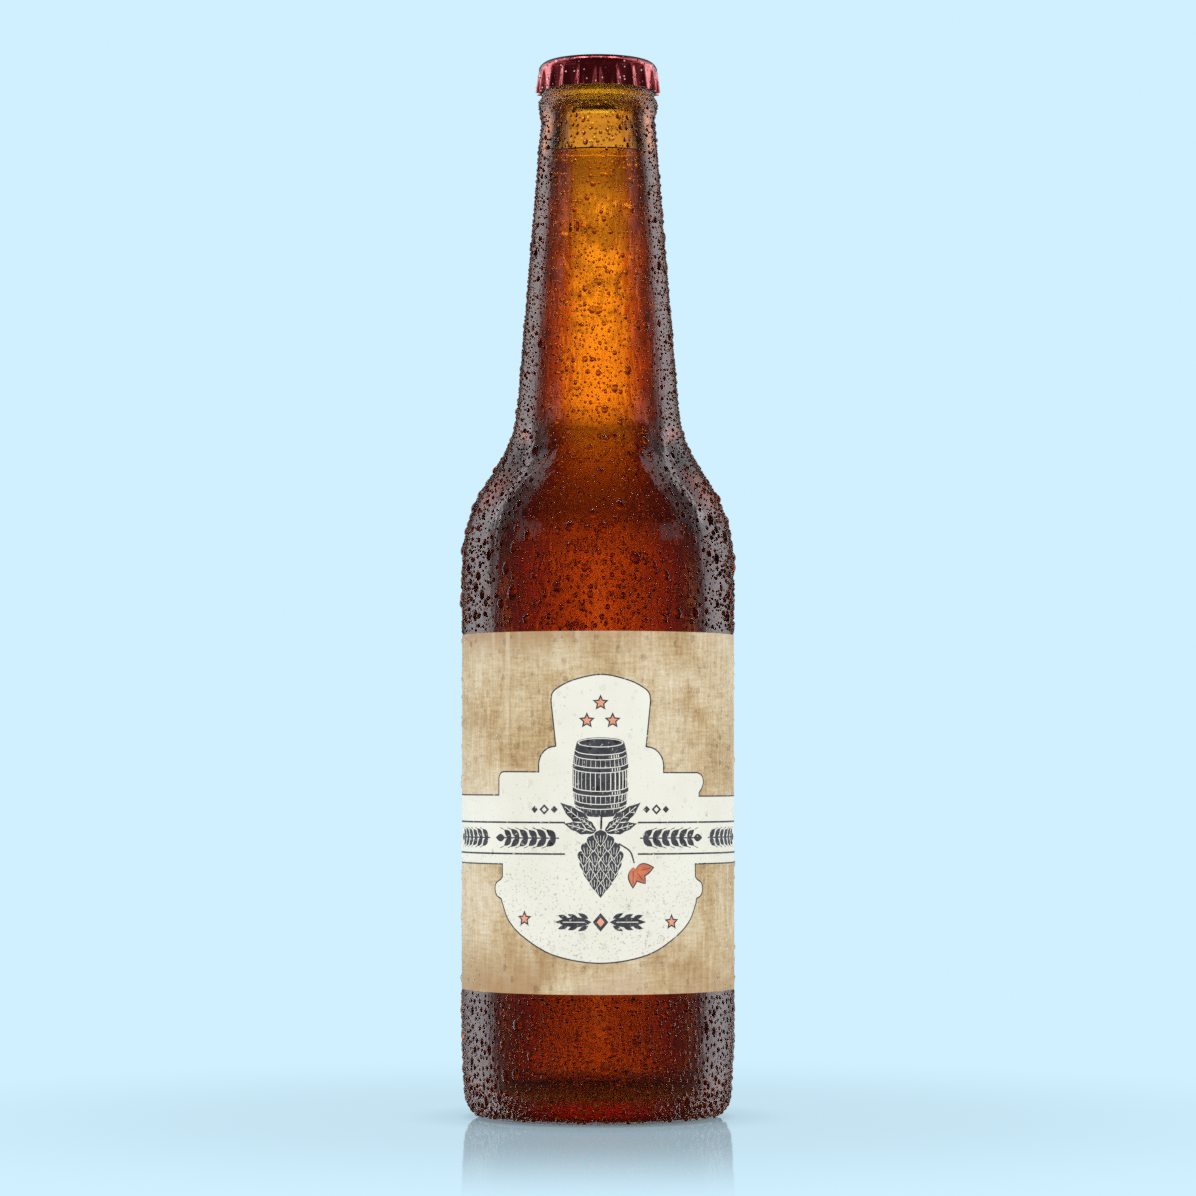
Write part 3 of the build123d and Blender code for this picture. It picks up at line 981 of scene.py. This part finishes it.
def kraft(t, vec):
    big = t.noise(vec, 55.0, 4.0, 0.62, 0.6)
    col = t.ramp(big, [(0.28, srgb(176, 143, 96)), (0.42, srgb(199, 173, 131)), (0.54, srgb(214, 194, 158)), (0.70, srgb(226, 211, 183))])
    patch = t.smooth(t.noise(t.coords((1, 1, 0.7)), 120.0, 3.0, 0.6, 0.8), 0.56, 0.72)
    col = t.mix(t.math("MULTIPLY", patch, 0.5), col, srgb(183, 150, 100))
    fibre = t.noise(t.coords((1, 1, 0.12)), 1500.0, 3.0, 0.6)
    across = t.noise(t.coords((0.15, 0.15, 1)), 1700.0, 2.0, 0.6)
    fine = t.math("ADD", t.math("MULTIPLY", fibre, 0.4), t.math("MULTIPLY", across, 0.3))
    fine = t.math("ADD", fine, t.math("MULTIPLY", t.noise(vec, 2400.0, 2.0, 0.6), 0.3))
    col = t.mix(0.9, col, t.ramp(fine, [(0.36, 0.14), (0.64, 0.86)]), "SOFT_LIGHT")
    z = t.node("ShaderNodeSeparateXYZ")
    t.put(vec, z.inputs[0])
    low = t.smooth(z.outputs[2], (label_z0 + 15) * MM, (label_z0 - 1) * MM, 0.0, 1.0)
    high = t.smooth(z.outputs[2], (label_z1 - 8) * MM, (label_z1 + 0.5) * MM, 0.0, 1.0)
    edge = t.math("MULTIPLY", t.math("MAXIMUM", t.math("MULTIPLY", low, 0.8), t.math("MULTIPLY", high, 0.75)), t.smooth(t.noise(vec, 70.0, 2.0), 0.30, 0.55))
    edge = t.math("MULTIPLY", edge, t.smooth(z.outputs[0], 0.006, -0.014, 0.55, 1.0))
    col = t.mix(edge, col, srgb(174, 134, 90))
    streak = t.smooth(t.noise(t.coords((1, 1, 0.03)), 420.0, 1.0), 0.66, 0.74)
    return t.mix(t.math("MULTIPLY", streak, 0.35), col, srgb(232, 220, 196))


def cream(t, vec):
    col = t.ramp(t.noise(vec, 60.0, 3.0, 0.6), [(0.35, srgb(236, 236, 223)), (0.65, srgb(244, 244, 234))])
    z = t.node("ShaderNodeSeparateXYZ")
    t.put(vec, z.inputs[0])
    # grey flecks over the cream: specks in the paper, and more of them towards the bottom as painted shade standing in
    # for the shading of small drops
    more_drop_shade_low = t.smooth(z.outputs[2], 0.075, 0.045, 0.0, 0.08)
    specks_and_drop_shade = t.noise(vec, 1900.0, 2.0, 0.5)
    specks_and_drop_shade = t.smooth(t.math("ADD", specks_and_drop_shade, more_drop_shade_low), 0.66, 0.76)
    return t.mix(t.math("MULTIPLY", specks_and_drop_shade, 0.42), col, srgb(120, 116, 108))


def ink(t, vec):
    worn = t.smooth(t.noise(vec, 1500.0, 3.0, 0.6), 0.60, 0.72)
    col = t.ramp(t.noise(vec, 400.0, 2.0), [(0.35, srgb(50, 48, 54)), (0.65, srgb(70, 67, 74))])
    return t.mix(t.math("MULTIPLY", worn, 0.75), col, srgb(228, 226, 216))


def salmon(t, vec):
    return t.ramp(t.noise(vec, 900.0, 3.0, 0.6), [(0.3, srgb(232, 146, 112)), (0.7, srgb(246, 176, 146))])


def rust(t, vec):
    return t.ramp(t.noise(vec, 800.0, 3.0, 0.6), [(0.3, srgb(196, 98, 60)), (0.7, srgb(224, 132, 94))])


for name, fn in (("label_kraft", kraft), ("label_cream", cream), ("label_ink", ink), ("label_salmon", salmon), ("label_rust", rust)):
    label.data.materials.append(paper(name, fn))

cap_mat, p, t = material("cap_look", Roughness=0.0, Coat_Weight=1.0, Coat_Roughness=0.0, Coat_IOR=1.45, IOR=1.5)
vec = t.coords()
worn = t.noise(vec, 260.0, 4.0, 0.6)
col = t.ramp(worn, [(0.3, srgb(140, 22, 34)), (0.55, srgb(158, 34, 44)), (0.75, srgb(170, 44, 52))])
# pale specks that are not metal, so the soft light makes them bright: painted highlights standing in for tiny glints of
# water on the cap
glint_cells = t.node("ShaderNodeTexVoronoi", feature="F1")
t.put(vec, glint_cells.inputs["Vector"])
glint_cells.inputs["Scale"].default_value = 1000.0
pick = t.node("ShaderNodeSeparateColor")
t.put(glint_cells.outputs["Color"], pick.inputs[0])
painted_glint_speck = t.math("MULTIPLY", t.smooth(glint_cells.outputs["Distance"], 0.24, 0.15), t.math("GREATER_THAN", pick.outputs[0], 0.5))
t.put(t.mix(painted_glint_speck, col, srgb(236, 206, 206)), p.inputs["Base Color"])
t.put(t.math("SUBTRACT", 0.96, t.math("MULTIPLY", painted_glint_speck, 0.9)), p.inputs["Metallic"])
grain = t.math("ADD", t.noise(vec, 1500.0, 3.0, 0.6), t.math("MULTIPLY", t.noise(vec, 5200.0, 1.0), 0.35))
t.put(t.bump(grain, 0.55, 0.0001), p.inputs["Normal"])
# the inside of the cap: tin, given a mid grey far darker than bare tin, painted shade inside the cap
tin_painted_shade_mat, p, t = material("cap_inside_painted_shade_look", Metallic=0.0, Roughness=0.55, IOR=1.5)
t.put(t.ramp(t.noise(t.coords(), 300.0, 2.0), [(0.3, srgb(128, 118, 108)), (0.7, srgb(150, 140, 130))]), p.inputs["Base Color"])

glass.data.materials.append(glass_mat)
beer.data.materials.append(beer_mat)
cap.data.materials.append(cap_mat)
cap.data.materials.append(tin_painted_shade_mat)
for o in water:
    o.data.materials.append(clear_mat if o in (on_label, on_cap) else water_painted_dark_mat)
    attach(o, "root")
for o, node, slot in ((glass, "bottle", "amber_glass"), (beer, "beer", "beer"), (label, "label", "label_paper"), (cap, "cap", "cap_red")):
    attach(o, "root")
    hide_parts(node)

# ------------------------------------------------------------------ camera
sc = bpy.context.scene
f_px, size_px = 4160.0, 1196.0
dist = body_r * math.sqrt(1 + 1 / (270.8 / 2 / f_px) ** 2)
cam_z, pitch = 75.5, math.atan((774 - 598) / f_px)
cam_d = bpy.data.cameras.new("camera")
cam_d.sensor_width = 36.0
cam_d.lens = 36.0 * f_px / size_px
cam_d.clip_start, cam_d.clip_end = 0.01, 50
cam = bpy.data.objects.new("camera", cam_d)
sc.collection.objects.link(cam)
cam.location = (0, -dist * MM, cam_z * MM)
cam.rotation_euler = (math.pi / 2 + pitch, 0, 0)
sc.camera = cam

# ------------------------------------------------------------------ floor: pale, with a painted soft shadow and a faint gloss
BG = (0.6308, 0.8714, 1.0)
floor_mesh = bpy.data.meshes.new("floor")
ring_r = [0.0] + list(np.geomspace(12, 900, 26))
fv, ff = [(0, 0, 0)], []
for r in ring_r[1:]:
    fv += [(r * math.sin(a) * MM, -r * math.cos(a) * MM, 0) for a in np.arange(64) * math.pi / 32]
for k in range(64):
    ff.append((0, 1 + (k + 1) % 64, 1 + k))
for j in range(len(ring_r) - 2):
    for k in range(64):
        a, b = 1 + j * 64, 1 + (j + 1) * 64
        ff.append((a + k, a + (k + 1) % 64, b + (k + 1) % 64, b + k))
floor_mesh.from_pydata(fv, [], ff)
floor = link("floor", floor_mesh)
fm = bpy.data.materials.new("floor_look")
fm.use_nodes = True
t = Tree(fm.node_tree)
fm.node_tree.nodes.clear()
geo = t.node("ShaderNodeNewGeometry")
ln = t.node("ShaderNodeVectorMath", operation="LENGTH")
t.put(geo.outputs["Position"], ln.inputs[0])
rad = ln.outputs["Value"]
# painted shadow: the floor's glow is darkened by distance from the bottle, a soft contact shadow close in and a faint
# wide one further out
painted_shadow = t.math("MULTIPLY", t.smooth(rad, 0.0275, 0.046, 1.0, 0.0), 0.22)
painted_shadow = t.math("ADD", painted_shadow, t.math("MULTIPLY", t.smooth(rad, 0.026, 0.0315, 1.0, 0.0), 0.35))
painted_wide_shadow = t.math("MULTIPLY", t.smooth(rad, 0.03, 0.12, 1.0, 0.0), 0.03)
lit = t.math("SUBTRACT", t.math("SUBTRACT", 1.0, painted_shadow), painted_wide_shadow)
em = t.node("ShaderNodeEmission")
em.inputs[0].default_value = (*BG, 1)
t.put(lit, em.inputs[1])
gl = t.node("ShaderNodeBsdfGlossy")
gl.inputs["Roughness"].default_value = 0.06
lw = t.node("ShaderNodeFresnel")
lw.inputs[0].default_value = 1.35
fres = t.math("MULTIPLY", lw.outputs[0], t.smooth(rad, 0.20, 0.055, 0.0, 0.52))
ms = t.node("ShaderNodeMixShader")
t.put(fres, ms.inputs[0])
t.put(em.outputs[0], ms.inputs[1])
t.put(gl.outputs[0], ms.inputs[2])
o = t.node("ShaderNodeOutputMaterial")
t.put(ms.outputs[0], o.inputs[0])
floor.data.materials.append(fm)
for flag in ("visible_diffuse", "visible_glossy", "visible_transmission", "visible_volume_scatter", "visible_shadow"):
    setattr(floor, flag, False)

# ------------------------------------------------------------------ soft studio light
w = bpy.data.worlds.new("studio")
sc.world = w
w.use_nodes = True
w.node_tree.nodes.clear()
t = Tree(w.node_tree)
tc = t.node("ShaderNodeTexCoord")
sep = t.node("ShaderNodeSeparateXYZ")
t.put(tc.outputs["Generated"], sep.inputs[0])
x, y, z = sep.outputs
deg = 180 / math.pi
el = t.math("MULTIPLY", t.math("ARCSINE", z), deg)
az = t.math("MULTIPLY", t.math("ARCTAN2", x, y), deg)      # 0 along +Y


def from_nearest(step, shift=0.0):
    """Degrees from the nearest multiple of step, plus shift."""
    f = t.math("FRACT", t.math("ADD", t.math("DIVIDE", t.math("SUBTRACT", az, shift), step), 20.5))
    return t.math("MULTIPLY", t.math("ABSOLUTE", t.math("SUBTRACT", f, 0.5)), step)


def bell(d, width, power):
    return t.math("EXPONENT", t.math("MULTIPLY", t.math("POWER", t.math("DIVIDE", d, width), power), -1.0))


def by_angle(angle, lo, hi, stops, top):
    """A curve of strength against an angle in degrees, drawn through the stops."""
    fac = t.math("DIVIDE", t.math("SUBTRACT", angle, lo), hi - lo)
    out = t.ramp(fac, [((a - lo) / (hi - lo), v / top) for a, v in stops], "LINEAR")
    return t.math("MULTIPLY", out, top)


def blend(fac, a, b):
    n = t.node("ShaderNodeMix", data_type="FLOAT")
    for i, v in ((0, fac), (2, a), (3, b)):
        t.put(v, n.inputs[i])
    return n.outputs[0]


def over_base(v, base):
    return t.math("ADD", t.math("MULTIPLY", v, 1 - base), base)


# a lit card behind the bottle, on each of the four sides; what comes from low down or high up is narrower or wider
behind_it = bell(from_nearest(360.0), 14.0, 2.0)
aside = t.math("MULTIPLY", bell(from_nearest(90.0), 8.5, 2.3), t.smooth(t.math("ABSOLUTE", t.math("SUBTRACT", el, 1.0)), 16.0, 7.0, 0.0, 0.42))
card = over_base(t.math("MAXIMUM", behind_it, aside), 0.02)
below = over_base(t.math("MULTIPLY", bell(from_nearest(45.0), 12.0, 2.3), t.smooth(t.math("ABSOLUTE", az), 20.0, 40.0, 1.0, 0.6)), 0.03)
above = over_base(bell(from_nearest(360.0), 25.0, 2.5), 0.03)
across = blend(t.smooth(el, -9.0, -17.0), blend(t.smooth(el, 8.0, 15.0), card, above), below)
rise = by_angle(el, -50, 50, [(-50, 0.0), (-34, 0.1), (-28, 0.9), (-23, 2.2), (-13, 1.45), (-7.5, 1.2), (-4.5, 2.1), (-3.0, 2.9), (-1.0, 3.1), (0.5, 3.5), (1.5, 4.3), (2.5, 4.3), (3.2, 3.7), (4.2, 2.0), (6.5, 1.1), (12, 0.8), (17, 0.95), (20, 0.6), (25, 0.12), (30, 0.03), (50, 0.0)], 5.0)
through = t.math("MULTIPLY", across, rise)
# soft boxes at both sides of the back; small strong ones low down and overhead, which only the drops and the cap's flutes catch
side_az = t.math("ABSOLUTE", az)


def patch(az0, az_half, el0, el_half, soft=5.0):
    one = t.smooth(t.math("ABSOLUTE", t.math("SUBTRACT", side_az, az0)), az_half + soft / 2, az_half - soft / 2)
    return t.math("MULTIPLY", one, t.smooth(t.math("ABSOLUTE", t.math("SUBTRACT", el, el0)), el_half + soft / 2, el_half - soft / 2))


box = by_angle(side_az, 0, 180, [(0, 0.05), (21, 0.05), (27, 0.5), (33, 0.75), (40, 1.2), (52, 2.0), (63, 2.6), (72, 2.3), (79, 1.1), (86, 0.35), (95, 0.14), (113, 0.09), (150, 0.04), (180, 0.03)], 3.0)
apart = t.math("SUBTRACT", t.math("MULTIPLY", t.smooth(el, -11.0, -18.0), 0.5), t.math("MULTIPLY", t.smooth(el, 20.0, 32.0), 0.5))
tallness = t.math("MULTIPLY", t.smooth(el, -38.0, -30.0), t.smooth(el, 62.0, 48.0))
tallness = t.math("MULTIPLY", tallness, t.math("ADD", 1.0, apart))
gloss = t.math("ADD", t.math("MULTIPLY", box, tallness), 0.03)
for v, strength in ((patch(128.0, 26.0, -28.0, 8.0), 0.3), (patch(68.0, 4.0, 33.0, 13.0, 3.0), 1.9), (patch(93.0, 7.0, 34.0, 10.0, 9.0), 0.6),
                    (patch(112.0, 12.0, 21.0, 6.0, 4.0), 0.55), (patch(80.0, 20.0, 57.0, 11.0), 1.2), (patch(85.0, 28.0, 74.5, 4.0, 4.0), 11.0), (t.smooth(el, 79.0, 84.0), 2.5)):
    gloss = t.math("ADD", gloss, t.math("MULTIPLY", v, strength))

lp = t.node("ShaderNodeLightPath")


def lamp(colour, strength):
    n = t.node("ShaderNodeBackground")
    n.inputs["Color"].default_value = (*colour, 1)
    t.put(strength, n.inputs["Strength"])
    return n.outputs[0]


def either(fac, a, b):
    n = t.node("ShaderNodeMixShader")
    for i, v in enumerate((fac, a, b)):
        t.put(v, n.inputs[i])
    return n.outputs[0]


soft = lamp((1.0, 1.0, 0.985), 1.0)
mirror = either(lp.outputs["Is Singular Ray"], lamp(BG, 1.0), lamp((1.0, 0.95, 0.98), gloss))
s = either(lp.outputs["Is Glossy Ray"], soft, mirror)
n = t.node("ShaderNodeBackground")
tint = t.ramp(t.math("DIVIDE", across, 0.9), [(0.0, (0.8, 0.22, 0.16)), (0.35, (0.8, 0.34, 0.20)), (0.75, (0.8, 0.84, 0.46)), (1.0, (0.8, 1.0, 0.55))])
tint = t.mix(t.math("MULTIPLY", t.math("GREATER_THAN", t.math("ABSOLUTE", az), 45.0), 1.0), tint, (1.0, 0.62, 0.45), "MULTIPLY")
t.put(t.mix(t.smooth(el, 7.0, 11.0), tint, (0.80, 0.64, 0.62)), n.inputs["Color"])
t.put(t.math("MULTIPLY", through, 1.4), n.inputs["Strength"])
s = either(lp.outputs["Is Transmission Ray"], s, n.outputs[0])
s = either(t.math("GREATER_THAN", lp.outputs["Diffuse Depth"], 0.5), s, soft)
s = either(lp.outputs["Is Camera Ray"], s, lamp(BG, 1.0))
o = t.node("ShaderNodeOutputWorld")
t.put(s, o.inputs[0])

sc.view_settings.view_transform = "Standard"
sc.view_settings.look = "None"
sc.cycles.max_bounces = 24
sc.cycles.transmission_bounces = 20
sc.cycles.glossy_bounces = 8
sc.cycles.diffuse_bounces = 2
sc.cycles.transparent_max_bounces = 16
sc.cycles.caustics_reflective = True
sc.cycles.caustics_refractive = True
sc.cycles.use_denoising = False
sc.cycles.sample_clamp_indirect = 8.0
